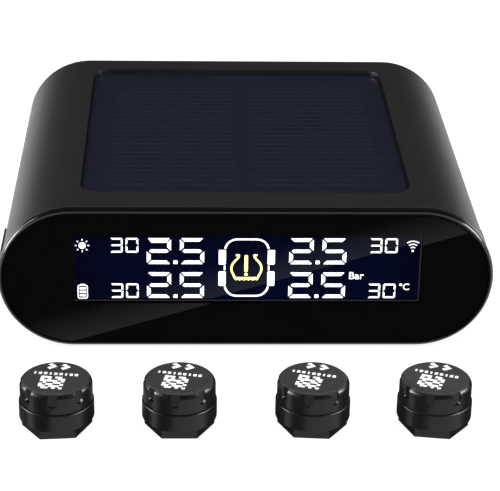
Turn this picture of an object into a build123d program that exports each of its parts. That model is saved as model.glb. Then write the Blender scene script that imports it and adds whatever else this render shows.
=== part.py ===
"""Tire pressure monitor: a solar dashboard display and four valve-cap sensors.

Frame: millimetres, +Z up, origin on the table under the centre of the display's
non-slip pad. The display looks towards -Y. The sensors stand in a row in front of it.
"""
import os
from math import atan2, cos, degrees, pi, radians, sin

from build123d import *

os.makedirs("parts", exist_ok=True)

# ---------------------------------------------------------------- display: driving dimensions
WIDTH = 120.0
HEIGHT = 36.0
DEPTH = 108.0
WALL = 2.2
PAD_PROUD = 0.8

FRONT_Y = -DEPTH / 2
REAR_Y = DEPTH / 2
MID_Z = PAD_PROUD + HEIGHT / 2
TOP_Z = PAD_PROUD + HEIGHT
CAP_X = (WIDTH - HEIGHT) / 2
INNER_R = HEIGHT / 2 - WALL

# front end: bezel, window and liquid crystal module, as distances behind the front face
RIM_PROUD = 0.25
RIM_DEPTH = 2.2
RIM_EDGE = 1.2
GROOVE = 0.4
SOCKET_INSET = 1.5
SOCKET_DEPTH = 3.4
WINDOW_INSET = 1.0
WINDOW_SUNK = 0.1
WINDOW_T = 1.2
FIT = 0.1
LCD_RISE = 2.1
LCD_W = 88.0
LCD_H = 21.0
LCD_START = 1.5
LCD_T = 1.6
LIGHT_START = 3.2
LIGHT_T = 2.7
HOLDER_W = 93.0
HOLDER_H = 25.0
HOLDER_T = 3.5
HOLDER_BACK = 1.0
RIBBON_W = 30.0
RIBBON_T = 0.3

# solar panel, laid in a tray in the flat top
PANEL_W = 81.0
PANEL_L = 88.0
PANEL_R = 5.0
PANEL_FRONT = 11.9
PANEL_SUNK = 0.4
GLASS_T = 1.1
FILM_T = 0.05
CELLS_T = 0.4
TAPE_T = 0.4
TAPE_W = 3.0
PANEL_GAP = 0.25
PANEL_Y = FRONT_Y + PANEL_FRONT + PANEL_L / 2
TRAY_DEPTH = PANEL_SUNK + GLASS_T + FILM_T + CELLS_T + TAPE_T
CEILING_T = 2.0
FRONT_ZONE = 9.6

# rear cover and its four screws
COVER_T = 2.2
BOSS_R = 3.0
BOSS_L = 12.0
BOSS_REACH = 13.2
BOSS_ANGLE = 56.0
SCREW_R = 0.9
SCREW_HEAD_R = 1.9
SCREW_HEAD_T = 1.2
SCREW_CLEAR_R = 1.2

# side push-buttons and the switches behind them
BUTTON_BACK = 16.0
BUTTON_L = 16.0
BUTTON_H = 7.0
BUTTON_R = 2.5
BUTTON_PROUD = 0.5
BUTTON_GAP = 0.15
BUTTON_TRAVEL = 0.4
FLANGE_LIP = 1.0
FLANGE_T = 1.2
PLUNGER_R = 1.4
PLUNGER_END = 53.4
PLUNGER_L = 3.0
PLUNGER_SEAT = 1.2
BORE_SPARE = 0.6
SWITCH_L = 4.6
SWITCH_X = PLUNGER_END - PLUNGER_L + PLUNGER_SEAT - SWITCH_L
SWITCH_W = 6.0
SWITCH_H = 5.6
BUTTON_Y = FRONT_Y + BUTTON_BACK

# tray, board and battery; heights are above the underside of the housing
TRAY_W = 80.0
TRAY_L = 86.0
TRAY_LOW = 2.6
TRAY_T = 2.0
BOARD_LOW = 14.0
BOARD_T = 1.6
BOARD_W = 100.0
BOARD_FRONT = FRONT_Y + 9.0
BOARD_REAR = REAR_Y - 8.0
POST_R = 2.6
POST_X = 36.0
POST_Y = 36.0
BATTERY_L = 60.0
BATTERY_W = 40.0
BATTERY_T = 7.5
BATTERY_TAPE_T = 0.6
LEAD_R = 0.5

BOARD_TOP = PAD_PROUD + BOARD_LOW + BOARD_T
BOARD_L = BOARD_REAR - BOARD_FRONT
BOARD_Y = (BOARD_REAR + BOARD_FRONT) / 2
TRAY_TOP = PAD_PROUD + TRAY_LOW + TRAY_T

USB_W = 8.94
USB_H = 3.26
USB_L = 7.4
USB_SHELL = 0.3
USB_SUNK = 0.3
USB_Z = BOARD_TOP + USB_H / 2

FOOT_W = 84.0
FOOT_L = 70.0
FOOT_T = 1.6
FOOT_R = 6.0

# ---------------------------------------------------------------- sensors: driving dimensions
BASE_D = 17.1
CAP_D = 16.5
SENSOR_H = 12.0
FOOT_RISE = 2.2
HEX_R = 8.0
BASE_EDGE = 0.5
SHOULDER_EDGE = 0.25
SEAM_Z = 6.7
SEAM_GAP = 0.2
SPIGOT_R = 7.0
SPIGOT_TOP = 9.6
POCKET_R = 6.35
POCKET_FLOOR = 6.4
CAP_BORE_R = 7.08
CAP_ROOF = 10.9
CAP_EDGE = 1.5
CAP_LEDGE_R = 6.6
SEAL_R = 7.65
SEAL_T = 0.7
NOTCHES = 8
NOTCH_W = 2.0
NOTCH_LOW = 8.5
NOTCH_DEEP = 0.7
NOTCH_TURN = -6.5
VALVE_R = 3.85
INSERT_R = 5.0
INSERT_LOW = 0.2
INSERT_TOP = 6.2
INSERT_FLOOR = 5.6
GASKET_T = 1.0
GASKET_R = 4.1
THREAD_END = INSERT_FLOOR - GASKET_T
CELL_R = 6.25
CELL_T = 2.5
CELL_LOW = 8.3
DISC_R = 6.2
DISC_T = 0.8

ROW_GAP = 36.3
ROW_SHIFT = -1.0
ROW_INNER = 15.2
ROW_OUTER = 43.1
ROW_Y = FRONT_Y - ROW_GAP
FACING_POINT = (-16.0, -464.0)


def station(y, z=MID_Z, x=0.0):
    """Upright plane that faces the front; solids grow backwards with negative amounts."""
    return Plane(origin=(x, y, z), x_dir=(1, 0, 0), z_dir=(0, -1, 0))


def side_plane(x, y, z, side):
    """Upright plane that faces right (side 1) or left (side -1), its own x along Y."""
    return Plane(origin=(x, y, z), x_dir=(0, side, 0), z_dir=(side, 0, 0))


def floor_plane(z, x=0.0, y=0.0):
    """Level plane at a height above the table."""
    return Plane(origin=(x, y, z))


def save(solid, name):
    """Label one finished piece and write it as its own node."""
    solid.label = name
    export_step(solid, f"parts/{name}.step")


def boss_points():
    """Centres of the four rear screws, as x and z from the middle of the section."""
    x = CAP_X + BOSS_REACH * cos(radians(BOSS_ANGLE))
    z = BOSS_REACH * sin(radians(BOSS_ANGLE))
    return [(x, z), (x, -z), (-x, z), (-x, -z)]


# ================================================================ display
# ---------------------------------------------------------------- housing sleeve
SLEEVE_FRONT = FRONT_Y + RIM_DEPTH + GROOVE
SLEEVE_L = REAR_Y - SLEEVE_FRONT
CEILING_Z = TOP_Z - TRAY_DEPTH - CEILING_T

with BuildPart() as main_housing:
    with BuildSketch(station(SLEEVE_FRONT)):
        SlotOverall(WIDTH, HEIGHT)
    extrude(amount=-SLEEVE_L)
    fillet(main_housing.edges().group_by(Axis.Y)[0], radius=0.9)
    fillet(main_housing.edges().group_by(Axis.Y)[-1], radius=0.6)
    with BuildSketch(station(SLEEVE_FRONT)):
        SlotOverall(2 * (CAP_X + INNER_R), 2 * INNER_R)
    extrude(amount=-FRONT_ZONE, mode=Mode.SUBTRACT)
    with BuildSketch(station(SLEEVE_FRONT)) as rear_room:
        SlotOverall(2 * (CAP_X + INNER_R), 2 * INNER_R)
        with Locations((0, CEILING_Z - MID_Z + HEIGHT / 2)):
            Rectangle(2 * CAP_X + 2 * PANEL_GAP, HEIGHT, mode=Mode.SUBTRACT)
    extrude(amount=-SLEEVE_L, mode=Mode.SUBTRACT)
    with BuildSketch(station(SLEEVE_FRONT)):
        SlotOverall(WIDTH - 2 * SOCKET_INSET, HEIGHT - 2 * SOCKET_INSET)
    extrude(amount=-SOCKET_DEPTH, mode=Mode.SUBTRACT)
    with BuildSketch(station(REAR_Y)):
        SlotOverall(WIDTH - 2 * SOCKET_INSET, HEIGHT - 2 * SOCKET_INSET)
    extrude(amount=COVER_T + FIT, mode=Mode.SUBTRACT)
    with BuildSketch(floor_plane(TOP_Z, y=PANEL_Y)):
        RectangleRounded(PANEL_W + 2 * PANEL_GAP, PANEL_L + 2 * PANEL_GAP, PANEL_R + PANEL_GAP)
    extrude(amount=-TRAY_DEPTH, mode=Mode.SUBTRACT)
    with BuildSketch(floor_plane(PAD_PROUD)):
        RectangleRounded(FOOT_W + 2 * FIT, FOOT_L + 2 * FIT, FOOT_R + FIT)
    extrude(amount=FOOT_T - PAD_PROUD, mode=Mode.SUBTRACT)
    with BuildSketch(station(REAR_Y - COVER_T - FIT)):
        with Locations(*boss_points()):
            Circle(BOSS_R)
    extrude(amount=BOSS_L)
    with BuildSketch(station(REAR_Y - COVER_T - FIT)):
        with Locations(*boss_points()):
            Circle(SCREW_R)
    extrude(amount=BOSS_L - 2.0, mode=Mode.SUBTRACT)
    for side in (1, -1):
        with BuildSketch(side_plane(side * CAP_X, BUTTON_Y, MID_Z, side)):
            RectangleRounded(BUTTON_L + 2 * BUTTON_GAP, BUTTON_H + 2 * BUTTON_GAP, BUTTON_R)
        extrude(amount=HEIGHT, mode=Mode.SUBTRACT)
    with Locations((30.0, PANEL_Y, TOP_Z - TRAY_DEPTH)):
        Hole(radius=1.8, depth=CEILING_T + 1.0)
save(main_housing.part, "main_housing")

# ---------------------------------------------------------------- bezel and window
WINDOW_W = WIDTH - 2 * WINDOW_INSET
WINDOW_H = HEIGHT - 2 * WINDOW_INSET

with BuildPart() as front_bezel:
    with BuildSketch(station(FRONT_Y)):
        SlotOverall(WIDTH + 2 * RIM_PROUD, HEIGHT + 2 * RIM_PROUD)
    extrude(amount=-RIM_DEPTH)
    fillet(front_bezel.edges().group_by(Axis.Y)[0], radius=RIM_EDGE)
    chamfer(front_bezel.edges().group_by(Axis.Y)[-1], length=0.2)
    with BuildSketch(station(FRONT_Y + RIM_DEPTH)):
        SlotOverall(WIDTH - 2 * SOCKET_INSET - 3 * FIT, HEIGHT - 2 * SOCKET_INSET - 3 * FIT)
    extrude(amount=-RIM_DEPTH)
    with BuildSketch(station(FRONT_Y)):
        SlotOverall(WINDOW_W, WINDOW_H)
    extrude(amount=-(WINDOW_SUNK + WINDOW_T), mode=Mode.SUBTRACT)
    with BuildSketch(station(FRONT_Y, MID_Z + LCD_RISE)):
        RectangleRounded(LCD_W + 2.0, LCD_H + 3.0, 1.5)
    extrude(amount=-2 * RIM_DEPTH, mode=Mode.SUBTRACT)
save(front_bezel.part, "front_bezel")

with BuildPart() as display_window:
    with BuildSketch(station(FRONT_Y + WINDOW_SUNK)):
        SlotOverall(WINDOW_W - 2 * FIT, WINDOW_H - 2 * FIT)
    extrude(amount=-WINDOW_T)
    chamfer(display_window.edges().group_by(Axis.Y)[0], length=0.15)
save(display_window.part, "display_window")

# ---------------------------------------------------------------- liquid crystal module
with BuildPart() as lcd_panel:
    with BuildSketch(station(FRONT_Y + LCD_START, MID_Z + LCD_RISE)):
        Rectangle(LCD_W, LCD_H)
    extrude(amount=-LCD_T)
save(lcd_panel.part, "lcd_panel")

with BuildPart() as lcd_backlight:
    with BuildSketch(station(FRONT_Y + LIGHT_START, MID_Z + LCD_RISE)):
        Rectangle(LCD_W, LCD_H)
    extrude(amount=-LIGHT_T)
save(lcd_backlight.part, "lcd_backlight")

HOLDER_Y = FRONT_Y + 2 * RIM_DEPTH
with BuildPart() as lcd_holder:
    with BuildSketch(station(HOLDER_Y, MID_Z + LCD_RISE)):
        RectangleRounded(HOLDER_W, HOLDER_H, 2.0)
    extrude(amount=-HOLDER_T)
    with BuildSketch(station(HOLDER_Y, MID_Z + LCD_RISE)):
        Rectangle(LCD_W + 4 * FIT, LCD_H + 4 * FIT)
    extrude(amount=-(HOLDER_T - HOLDER_BACK), mode=Mode.SUBTRACT)
    with BuildSketch(station(HOLDER_Y, MID_Z + LCD_RISE - HOLDER_H / 2)):
        Rectangle(RIBBON_W + 4.0, HOLDER_H - LCD_H)
    extrude(amount=-HOLDER_T, mode=Mode.SUBTRACT)
save(lcd_holder.part, "lcd_holder")

RIBBON_LOW = MID_Z + LCD_RISE - LCD_H / 2 - 1.2
RIBBON_TOP = BOARD_TOP + 0.9
with BuildPart() as lcd_ribbon:
    with BuildLine() as ribbon_route:
        FilletPolyline(
            (0, FRONT_Y + LCD_START + LCD_T / 2, MID_Z + LCD_RISE - LCD_H / 2),
            (0, FRONT_Y + LCD_START + LCD_T / 2, RIBBON_LOW),
            (0, BOARD_FRONT - 0.5, RIBBON_LOW),
            (0, BOARD_FRONT - 0.5, RIBBON_TOP),
            (0, BOARD_FRONT + 1.5, RIBBON_TOP),
            radius=0.5,
        )
    ribbon_start = ribbon_route.line @ 0
    with BuildSketch(Plane(origin=ribbon_start, x_dir=(1, 0, 0), z_dir=ribbon_route.line % 0)):
        Rectangle(RIBBON_W, RIBBON_T)
    sweep(path=ribbon_route.line)
save(lcd_ribbon.part, "lcd_ribbon")

# ---------------------------------------------------------------- solar panel
GLASS_TOP = TOP_Z - PANEL_SUNK
CELLS_TOP = GLASS_TOP - GLASS_T - FILM_T

with BuildPart() as solar_glass:
    with BuildSketch(floor_plane(GLASS_TOP, y=PANEL_Y)):
        RectangleRounded(PANEL_W, PANEL_L, PANEL_R)
    extrude(amount=-GLASS_T)
    fillet(solar_glass.edges().group_by(Axis.Z)[-1], radius=0.3)
save(solar_glass.part, "solar_glass")

with BuildPart() as solar_cells:
    with BuildSketch(floor_plane(CELLS_TOP, y=PANEL_Y)):
        RectangleRounded(PANEL_W - 1.0, PANEL_L - 1.0, PANEL_R - 0.5)
    extrude(amount=-CELLS_T)
save(solar_cells.part, "solar_cells")

with BuildPart() as solar_gasket:
    with BuildSketch(floor_plane(CELLS_TOP - CELLS_T, y=PANEL_Y)):
        RectangleRounded(PANEL_W - 1.0, PANEL_L - 1.0, PANEL_R - 0.5)
        RectangleRounded(PANEL_W - 2 * TAPE_W, PANEL_L - 2 * TAPE_W, PANEL_R - TAPE_W / 2, mode=Mode.SUBTRACT)
    extrude(amount=-TAPE_T)
save(solar_gasket.part, "solar_gasket")

# ---------------------------------------------------------------- tray, board and battery
POSTS = [(x, y) for x in (-POST_X, POST_X) for y in (-POST_Y, POST_Y)]

with BuildPart() as inner_tray:
    with BuildSketch(floor_plane(PAD_PROUD + TRAY_LOW)):
        RectangleRounded(TRAY_W, TRAY_L, 3.0)
    extrude(amount=TRAY_T)
    with BuildSketch(floor_plane(PAD_PROUD + TRAY_LOW)):
        with Locations(*POSTS):
            Circle(POST_R)
    extrude(amount=BOARD_LOW - TRAY_LOW)
    with BuildSketch(floor_plane(PAD_PROUD + BOARD_LOW)):
        with Locations(*POSTS):
            Circle(SCREW_R)
    extrude(amount=-7.0, mode=Mode.SUBTRACT)
save(inner_tray.part, "inner_tray")

with BuildPart() as main_board:
    with BuildSketch(floor_plane(PAD_PROUD + BOARD_LOW)):
        with Locations((0, BOARD_Y)):
            RectangleRounded(BOARD_W, BOARD_L, 2.0)
        with Locations(*POSTS):
            Circle(SCREW_CLEAR_R, mode=Mode.SUBTRACT)
    extrude(amount=BOARD_T)
save(main_board.part, "main_board")

with BuildPart() as board_screws:
    with BuildSketch(floor_plane(BOARD_TOP)):
        with Locations(*POSTS):
            Circle(SCREW_HEAD_R)
    extrude(amount=SCREW_HEAD_T)
    with BuildSketch(floor_plane(BOARD_TOP)):
        with Locations(*POSTS):
            Circle(SCREW_R)
    extrude(amount=-6.0)
    with BuildSketch(floor_plane(BOARD_TOP + SCREW_HEAD_T)):
        with Locations(*POSTS):
            Rectangle(2.2, 0.5)
            Rectangle(0.5, 2.2)
    extrude(amount=-0.7, mode=Mode.SUBTRACT)
save(board_screws.part, "board_screws")

# chips and connectors on the board: x, y, length along x, length along y, height
CONTROLLER = (-4.0, -12.0, 9.0, 9.0, 1.2)
RADIO_CAN = (22.0, -20.0, 16.0, 13.0, 2.4)
CHARGER = (8.0, 32.0, 5.0, 4.0, 1.4)
INDUCTOR = (18.0, 30.0, 5.2, 5.2, 3.0)
BATTERY_PLUG = (-38.0, 0.0, 7.0, 6.0, 5.6)
SOLAR_PLUG = (30.0, PANEL_Y, 6.0, 7.0, 5.0)
RIBBON_PLUG = (0.0, BOARD_FRONT + 3.2, RIBBON_W + 4.0, 3.4, 1.8)

with BuildPart() as board_components:
    for x, y, long_x, long_y, tall in (
        CONTROLLER, RADIO_CAN, CHARGER, INDUCTOR, BATTERY_PLUG, SOLAR_PLUG, RIBBON_PLUG,
    ):
        with BuildSketch(floor_plane(BOARD_TOP, x, y)):
            Rectangle(long_x, long_y)
        extrude(amount=tall)
    with BuildSketch(floor_plane(BOARD_TOP, -4.0, 6.0)):
        with GridLocations(4.0, 3.0, 4, 3):
            Rectangle(2.0, 1.25)
    extrude(amount=0.8)
save(board_components.part, "board_components")

with BuildPart() as antenna:
    with BuildSketch(side_plane(42.0, -18.0, BOARD_TOP, 1)):
        with Locations((0, 3.5)):
            Rectangle(24.0, 1.6)
        for foot in (-11.2, -6.0):
            with Locations((foot, 2.0)):
                Rectangle(1.6, 4.0)
    extrude(amount=0.4)
save(antenna.part, "antenna")

with BuildPart() as buzzer:
    with BuildSketch(floor_plane(BOARD_TOP, -24.0, 26.0)):
        Circle(6.0)
    extrude(amount=5.5)
    with BuildSketch(floor_plane(BOARD_TOP + 5.5, -24.0, 26.0)):
        Circle(1.2)
    extrude(amount=-1.5, mode=Mode.SUBTRACT)
save(buzzer.part, "buzzer")

with BuildPart() as usb_socket:
    with BuildSketch(station(REAR_Y - USB_SUNK, USB_Z)):
        SlotOverall(USB_W, USB_H)
    extrude(amount=USB_L)
    with BuildSketch(station(REAR_Y - USB_SUNK, USB_Z)):
        SlotOverall(USB_W - 2 * USB_SHELL, USB_H - 2 * USB_SHELL)
    extrude(amount=USB_L - 1.0, mode=Mode.SUBTRACT)
    with BuildSketch(station(REAR_Y - USB_SUNK - 0.8, USB_Z)):
        Rectangle(6.7, 0.7)
    extrude(amount=USB_L - 1.5)
save(usb_socket.part, "usb_socket")

with BuildPart() as battery_pad:
    with BuildSketch(floor_plane(TRAY_TOP, y=4.0)):
        Rectangle(BATTERY_L - 8.0, BATTERY_W - 8.0)
    extrude(amount=BATTERY_TAPE_T)
save(battery_pad.part, "battery_pad")

with BuildPart() as battery:
    with BuildSketch(floor_plane(TRAY_TOP + BATTERY_TAPE_T, y=4.0)):
        RectangleRounded(BATTERY_L, BATTERY_W, 2.0)
    extrude(amount=BATTERY_T)
    fillet(battery.edges().filter_by(GeomType.LINE).filter_by(Axis.Z, reverse=True), radius=1.2)
save(battery.part, "battery")

BATTERY_MID = TRAY_TOP + BATTERY_TAPE_T + BATTERY_T / 2
PLUG_FACE = BATTERY_PLUG[0] - BATTERY_PLUG[2] / 2
PLUG_MID = BOARD_TOP + BATTERY_PLUG[4] / 2
with BuildPart() as battery_leads:
    for lead_y in (-1.0, 1.0):
        with BuildLine() as lead_route:
            FilletPolyline(
                (-BATTERY_L / 2, lead_y, BATTERY_MID),
                (-BOARD_W / 2 - 2.6, lead_y, BATTERY_MID),
                (-BOARD_W / 2 - 2.6, lead_y, PLUG_MID),
                (PLUG_FACE, lead_y, PLUG_MID),
                radius=3.2,
            )
        with BuildSketch(Plane(origin=lead_route.line @ 0, z_dir=lead_route.line % 0)):
            Circle(LEAD_R)
        sweep(path=lead_route.line)
save(battery_leads.part, "battery_leads")

SOLAR_LEAD_TOP = CELLS_TOP - CELLS_T
SOLAR_PLUG_TOP = BOARD_TOP + SOLAR_PLUG[4]
with BuildPart() as solar_leads:
    for lead_x in (-0.8, 0.8):
        with BuildSketch(floor_plane(SOLAR_PLUG_TOP, SOLAR_PLUG[0] + lead_x, PANEL_Y)):
            Circle(LEAD_R)
        extrude(amount=SOLAR_LEAD_TOP - SOLAR_PLUG_TOP)
save(solar_leads.part, "solar_leads")

# ---------------------------------------------------------------- rear cover and screws
SOUND_HOLES = [(-24.0, 8.0)] + [
    (-24.0 + 3.0 * cos(k * pi / 3), 8.0 + 3.0 * sin(k * pi / 3)) for k in range(6)
]

with BuildPart() as rear_cover:
    with BuildSketch(station(REAR_Y)):
        SlotOverall(WIDTH - 2 * SOCKET_INSET - 3 * FIT, HEIGHT - 2 * SOCKET_INSET - 3 * FIT)
    extrude(amount=COVER_T)
    chamfer(rear_cover.edges().group_by(Axis.Y)[-1], length=0.3)
    with BuildSketch(station(REAR_Y)):
        with Locations(*boss_points()):
            Circle(SCREW_HEAD_R + FIT)
    extrude(amount=SCREW_HEAD_T + 0.1, mode=Mode.SUBTRACT)
    with BuildSketch(station(REAR_Y)):
        with Locations(*boss_points()):
            Circle(SCREW_CLEAR_R)
        with Locations(*SOUND_HOLES):
            Circle(0.6)
        with Locations((0, USB_Z - MID_Z)):
            SlotOverall(USB_W + 0.5, USB_H + 0.5)
    extrude(amount=COVER_T, mode=Mode.SUBTRACT)
save(rear_cover.part, "rear_cover")

HEAD_Y = REAR_Y - 0.1
with BuildPart() as rear_cover_screws:
    with BuildSketch(station(HEAD_Y)):
        with Locations(*boss_points()):
            Circle(SCREW_HEAD_R)
    extrude(amount=SCREW_HEAD_T)
    with BuildSketch(station(HEAD_Y - SCREW_HEAD_T)):
        with Locations(*boss_points()):
            Circle(SCREW_R)
    extrude(amount=8.0)
    with BuildSketch(station(HEAD_Y)):
        with Locations(*boss_points()):
            Rectangle(2.2, 0.5)
            Rectangle(0.5, 2.2)
    extrude(amount=0.7, mode=Mode.SUBTRACT)
save(rear_cover_screws.part, "rear_cover_screws")

# ---------------------------------------------------------------- non-slip pad
with BuildPart() as non_slip_pad:
    with BuildSketch(floor_plane(0)):
        RectangleRounded(FOOT_W, FOOT_L, FOOT_R)
    extrude(amount=FOOT_T)
save(non_slip_pad.part, "non_slip_pad")


# ---------------------------------------------------------------- side buttons and switches
FLANGE_X = CAP_X + (INNER_R**2 - (BUTTON_H / 2 + FLANGE_LIP) ** 2) ** 0.5 - 0.3


def side_button(side):
    """Key that fills its hole in the round side, with an inner flange and a short post."""
    with BuildPart() as button:
        with BuildSketch(station(BUTTON_Y - BUTTON_L)):
            SlotOverall(WIDTH + 2 * BUTTON_PROUD, HEIGHT + 2 * BUTTON_PROUD)
        extrude(amount=-2 * BUTTON_L)
        with BuildSketch(side_plane(side * FLANGE_X, BUTTON_Y, MID_Z, side)):
            RectangleRounded(BUTTON_L, BUTTON_H, BUTTON_R)
        extrude(amount=HEIGHT, mode=Mode.INTERSECT)
        outer_face = button.faces().sort_by(Axis.X)[-1 if side > 0 else 0]
        fillet(outer_face.edges(), radius=0.3)
        with BuildSketch(side_plane(side * FLANGE_X, BUTTON_Y, MID_Z, side)):
            RectangleRounded(BUTTON_L + 2 * FLANGE_LIP, BUTTON_H + 2 * FLANGE_LIP, BUTTON_R)
        extrude(amount=-FLANGE_T)
        with BuildSketch(side_plane(side * (FLANGE_X - FLANGE_T), BUTTON_Y, MID_Z, side)):
            Circle(PLUNGER_R)
        extrude(amount=-(FLANGE_X - FLANGE_T - PLUNGER_END))
    return button.part


def switch_plunger(side):
    """Round actuator of the switch."""
    with BuildPart() as plunger:
        with BuildSketch(side_plane(side * PLUNGER_END, BUTTON_Y, MID_Z, side)):
            Circle(PLUNGER_R)
        extrude(amount=-PLUNGER_L)
    return plunger.part


def side_switch(side):
    """Right-angle push switch on the edge of the board, bored for its plunger."""
    with BuildPart() as switch:
        with BuildSketch(floor_plane(BOARD_TOP, side * (SWITCH_X + SWITCH_L / 2), BUTTON_Y)):
            Rectangle(SWITCH_L, SWITCH_W)
        extrude(amount=SWITCH_H)
        with BuildSketch(side_plane(side * (SWITCH_X + SWITCH_L), BUTTON_Y, MID_Z, side)):
            Circle(PLUNGER_R + FIT)
        extrude(amount=-(PLUNGER_SEAT + BUTTON_TRAVEL + BORE_SPARE), mode=Mode.SUBTRACT)
    return switch.part


for side, word in ((-1, "left"), (1, "right")):
    save(side_button(side), f"{word}_button")
    save(switch_plunger(side), f"{word}_switch_plunger")
    save(side_switch(side), f"{word}_switch")


# ================================================================ sensors
def sensor_base(seat):
    """Round lower shell on a six-sided foot, with the neck that the cap screws onto."""
    with BuildPart() as base:
        with BuildSketch(seat):
            RegularPolygon(radius=HEX_R, side_count=6)
        extrude(amount=FOOT_RISE)
        with BuildSketch(seat.offset(FOOT_RISE)):
            Circle(BASE_D / 2)
        extrude(amount=SEAM_Z - FOOT_RISE)
        rims = base.edges().filter_by(GeomType.CIRCLE).sort_by(Axis.Z)
        fillet(rims[0], radius=BASE_EDGE)
        fillet(rims[-1], radius=SHOULDER_EDGE)
        with BuildSketch(seat.offset(FOOT_RISE)):
            Circle(SPIGOT_R)
        extrude(amount=SPIGOT_TOP - FOOT_RISE)
        with BuildSketch(seat.offset(POCKET_FLOOR)):
            Circle(POCKET_R)
        extrude(amount=SPIGOT_TOP, mode=Mode.SUBTRACT)
        with BuildSketch(seat):
            Circle(INSERT_R)
        extrude(amount=INSERT_TOP, mode=Mode.SUBTRACT)
        with BuildSketch(seat):
            Circle(0.6)
        extrude(amount=SEAM_Z, mode=Mode.SUBTRACT)
    return base.part


def valve_insert(seat):
    """Brass sleeve for the valve thread, with a gasket groove and a short core pin at its end."""
    with BuildPart() as insert:
        with BuildSketch(seat.offset(INSERT_LOW)):
            Circle(INSERT_R)
        extrude(amount=INSERT_TOP - INSERT_LOW)
        with BuildSketch(seat):
            Circle(VALVE_R)
        extrude(amount=THREAD_END, mode=Mode.SUBTRACT)
        with BuildSketch(seat.offset(THREAD_END)):
            Circle(GASKET_R + 0.05)
        extrude(amount=GASKET_T, mode=Mode.SUBTRACT)
        with BuildSketch(seat.offset(THREAD_END + 0.1)):
            Circle(0.6)
        extrude(amount=GASKET_T)
        with BuildSketch(seat):
            with Locations((1.1, 0)):
                Circle(0.25)
        extrude(amount=INSERT_TOP, mode=Mode.SUBTRACT)
    return insert.part


def valve_gasket(seat):
    """Rubber ring at the end of the valve thread."""
    with BuildPart() as gasket:
        with BuildSketch(seat.offset(THREAD_END)):
            Circle(GASKET_R)
            Circle(1.6, mode=Mode.SUBTRACT)
        extrude(amount=GASKET_T)
    return gasket.part


def sensor_board(seat):
    """Round board with its sensor chip, radio chip and the two cell contacts."""
    low = POCKET_FLOOR + 0.1
    with BuildPart() as board:
        with BuildSketch(seat.offset(low)):
            Circle(DISC_R)
        extrude(amount=DISC_T)
        with BuildSketch(seat.offset(low + DISC_T)):
            with Locations((-2.2, 1.0)):
                Rectangle(3.4, 3.4)
            with Locations((2.4, -1.6)):
                Rectangle(3.0, 2.4)
            with PolarLocations(4.8, 2, start_angle=60):
                Circle(0.6)
        extrude(amount=CELL_LOW - low - DISC_T)
    return board.part


def sensor_cell(seat):
    """Coin cell, its lower face a little smaller than its can."""
    with BuildPart() as cell:
        with BuildSketch(seat.offset(CELL_LOW)):
            Circle(CELL_R - 0.6)
        extrude(amount=0.3)
        with BuildSketch(seat.offset(CELL_LOW + 0.3)):
            Circle(CELL_R)
        extrude(amount=CELL_T - 0.3)
    return cell.part


def sensor_seal(seat):
    """Square-section seal between the cap and the shoulder of the base."""
    with BuildPart() as seal:
        with BuildSketch(seat.offset(SEAM_Z + 0.02)):
            Circle(SEAL_R)
            Circle(CAP_BORE_R, mode=Mode.SUBTRACT)
        extrude(amount=SEAL_T)
    return seal.part


def sensor_cap(seat):
    """Screw cap with a round-edged top and eight finger notches under its shoulder."""
    low = SEAM_Z + SEAM_GAP
    with BuildPart() as cap:
        with BuildSketch(seat.offset(low)):
            Circle(CAP_D / 2)
        extrude(amount=SENSOR_H - low)
        fillet(cap.edges().group_by(Axis.Z)[-1], radius=CAP_EDGE)
        for k in range(NOTCHES):
            turned = seat.rotated((0, 0, NOTCH_TURN - 90 + 360 / NOTCHES * k))
            face = Plane(
                origin=turned.from_local_coords((CAP_D / 2 - NOTCH_DEEP, 0, NOTCH_LOW + NOTCH_W / 2)),
                x_dir=turned.y_dir,
                z_dir=turned.x_dir,
            )
            with BuildSketch(face):
                Circle(NOTCH_W / 2)
                with Locations((0, NOTCH_W)):
                    Rectangle(NOTCH_W, 2 * NOTCH_W)
            extrude(amount=CAP_D, mode=Mode.SUBTRACT)
        with BuildSketch(seat.offset(low)):
            Circle(CAP_BORE_R)
        extrude(amount=SPIGOT_TOP + 0.1 - low, mode=Mode.SUBTRACT)
        with BuildSketch(seat.offset(low)):
            Circle(CAP_LEDGE_R)
        extrude(amount=CAP_ROOF - low, mode=Mode.SUBTRACT)
        with BuildSketch(seat.offset(low)):
            Circle(SEAL_R + 0.05)
        extrude(amount=SEAL_T, mode=Mode.SUBTRACT)
    return cap.part


SENSOR_PIECES = {
    "base": sensor_base,
    "valve_insert": valve_insert,
    "valve_gasket": valve_gasket,
    "board": sensor_board,
    "cell": sensor_cell,
    "seal": sensor_seal,
    "cap": sensor_cap,
}

ROW = [ROW_SHIFT + x for x in (-ROW_OUTER, -ROW_INNER, ROW_INNER, ROW_OUTER)]
for number, x in enumerate(ROW, start=1):
    facing = degrees(atan2(FACING_POINT[0] - x, ROW_Y - FACING_POINT[1]))
    seat = Plane(origin=(x, ROW_Y, 0)).rotated((0, 0, facing))
    for piece, make in SENSOR_PIECES.items():
        save(make(seat), f"sensor_{number}_{piece}")
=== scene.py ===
"""Finishes and fine details of a tire pressure monitor: a solar dashboard display and four
valve-cap sensors.

Lengths are metres and +Z is up. The display looks towards -Y, and every size that the model
already has is read from the frame.
"""
from math import atan2, cos, pi, radians, sin

import bpy
from bpy.props import FloatProperty, FloatVectorProperty, PointerProperty
from mathutils import Matrix, Vector


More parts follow.
